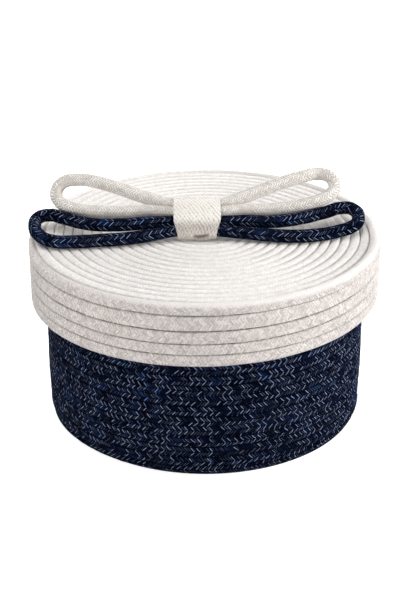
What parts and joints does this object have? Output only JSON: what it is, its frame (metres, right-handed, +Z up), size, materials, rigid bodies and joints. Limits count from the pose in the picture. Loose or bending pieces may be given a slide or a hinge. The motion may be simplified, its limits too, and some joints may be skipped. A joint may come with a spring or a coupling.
{
  "type": "knitting basket",
  "caption": "Round lidded basket of coiled cotton rope: dark body, pale lid with a deep skirt, and a flat bow of both ropes held by a tape band.",
  "frame": {"origin": "middle of the basket's underside, on the surface that it stands on", "axes": "+Z up, which is also the way the lid lifts; +Y to the back, where the coils end; the bow runs along X, with its navy loops in front"},
  "size_m": [0.298, 0.298, 0.2022],
  "materials": {
    "basket_floor": "matt braided navy cotton rope with pale blue flecks",
    "basket_wall": "matt braided navy cotton rope with pale blue flecks",
    "lid_top": "matt braided cream cotton rope",
    "lid_skirt": "matt braided cream cotton rope",
    "bow_navy": "matt braided navy cotton rope with pale blue flecks",
    "bow_cream": "matt braided cream cotton rope",
    "bow_band": "matt flat woven cream tape"
  },
  "bodies": {
    "basket": {"basket_floor": "basket_floor", "basket_wall": "basket_wall"},
    "lid": {"lid_top": "lid_top", "lid_skirt": "lid_skirt", "bow_navy": "bow_navy", "bow_cream": "bow_cream", "bow_band": "bow_band"}
  },
  "joints": [
    {"name": "lid_lift", "type": "slide", "parent": "basket", "child": "lid", "axis": [0, 0, 1], "range_m": [0, 0.25]}
  ]
}
